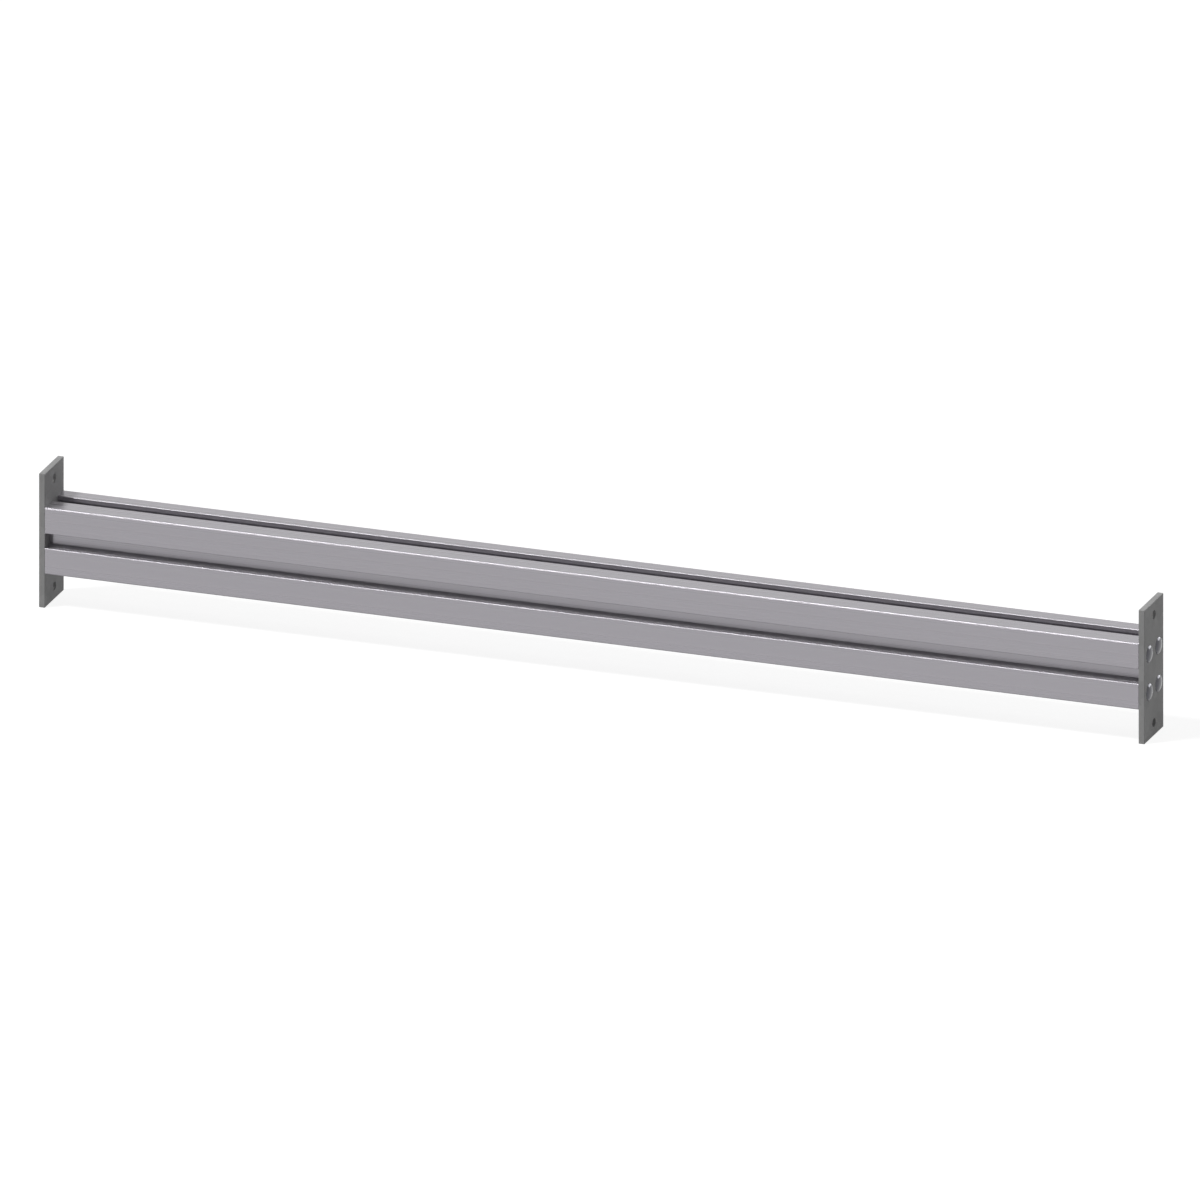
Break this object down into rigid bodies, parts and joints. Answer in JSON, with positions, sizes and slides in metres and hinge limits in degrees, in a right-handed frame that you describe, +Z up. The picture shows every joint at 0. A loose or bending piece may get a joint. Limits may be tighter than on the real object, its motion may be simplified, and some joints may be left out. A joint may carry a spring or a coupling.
{
  "type": "slotted aluminium beam with end plates",
  "caption": "Straight T-slotted aluminium beam with a steel mounting plate screwed flat across each end, for bolting between two posts or frames.",
  "frame": {"origin": "on the floor, midway between the end plates and midway across them", "axes": "+X along the beam, -Y the front face, +Z up"},
  "size_m": [1.1044, 0.052, 0.1332],
  "materials": {
    "anodised_aluminium": "satin anodised, fine drawing lines along the beam",
    "galvanised_steel": "matt hot-dip galvanised with grey spangle",
    "blackened_steel": "dark oxide, polished dome"
  },
  "bodies": {
    "root": {"slotted_profile": "anodised_aluminium", "end_plate_left": "galvanised_steel", "end_plate_right": "galvanised_steel", "screw_left_lower_front": "blackened_steel", "screw_left_lower_back": "blackened_steel", "screw_left_upper_front": "blackened_steel", "screw_left_upper_back": "blackened_steel", "screw_right_lower_front": "blackened_steel", "screw_right_lower_back": "blackened_steel", "screw_right_upper_front": "blackened_steel", "screw_right_upper_back": "blackened_steel"}
  },
  "joints": []
}
